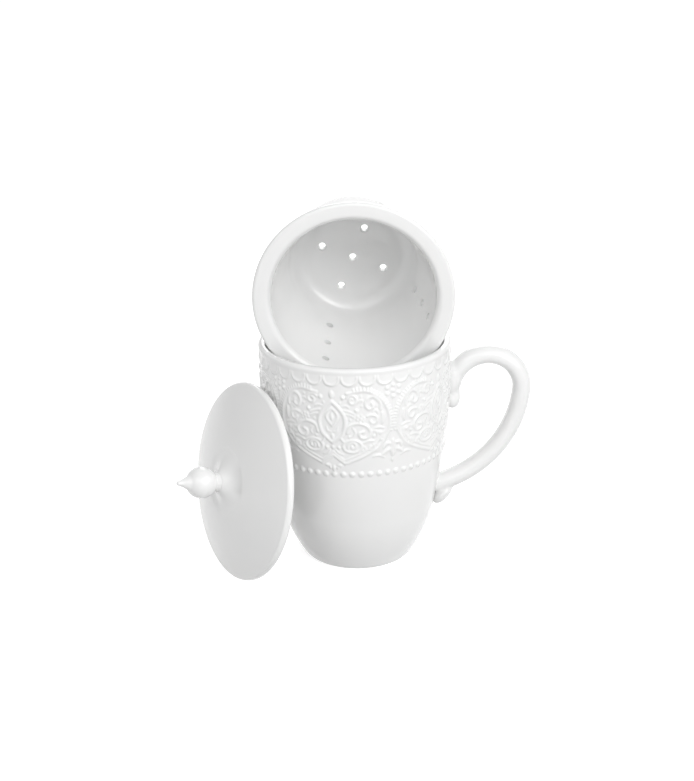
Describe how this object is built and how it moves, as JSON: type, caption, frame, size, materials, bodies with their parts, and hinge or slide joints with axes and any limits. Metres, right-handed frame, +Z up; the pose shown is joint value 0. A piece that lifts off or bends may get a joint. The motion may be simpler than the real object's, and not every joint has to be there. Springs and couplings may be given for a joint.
{
  "type": "lidded tea mug with infuser",
  "caption": "Tall tapered porcelain mug with a scrolled handle, a pierced flanged infuser basket tipped in its mouth and a loose domed lid with a turned knob leaning against it.",
  "frame": {"origin": "centre of the mug's foot, on the surface it stands on", "axes": "+Z up along the mug's axis, +X towards the handle, -Y towards the viewer of the picture"},
  "size_m": [0.1527, 0.0995, 0.163],
  "materials": {
    "glazed_porcelain": "high-gloss clear-glazed white porcelain all over, with an unglazed matt foot ring under the mug"
  },
  "bodies": {
    "mug": {"mug_body": "glazed_porcelain", "mug_handle": "glazed_porcelain"},
    "infuser": {"infuser_basket": "glazed_porcelain"},
    "lid": {"lid_disc": "glazed_porcelain", "lid_knob": "glazed_porcelain"}
  },
  "joints": [
    {"name": "infuser_lift", "type": "slide", "parent": "mug", "child": "infuser", "axis": [0, 0, 1], "range_m": [0, 0.1]},
    {"name": "lid_lift", "type": "slide", "parent": "mug", "child": "lid", "axis": [-0.6111, -0.3557, 0.7071], "range_m": [0, 0.1]}
  ]
}
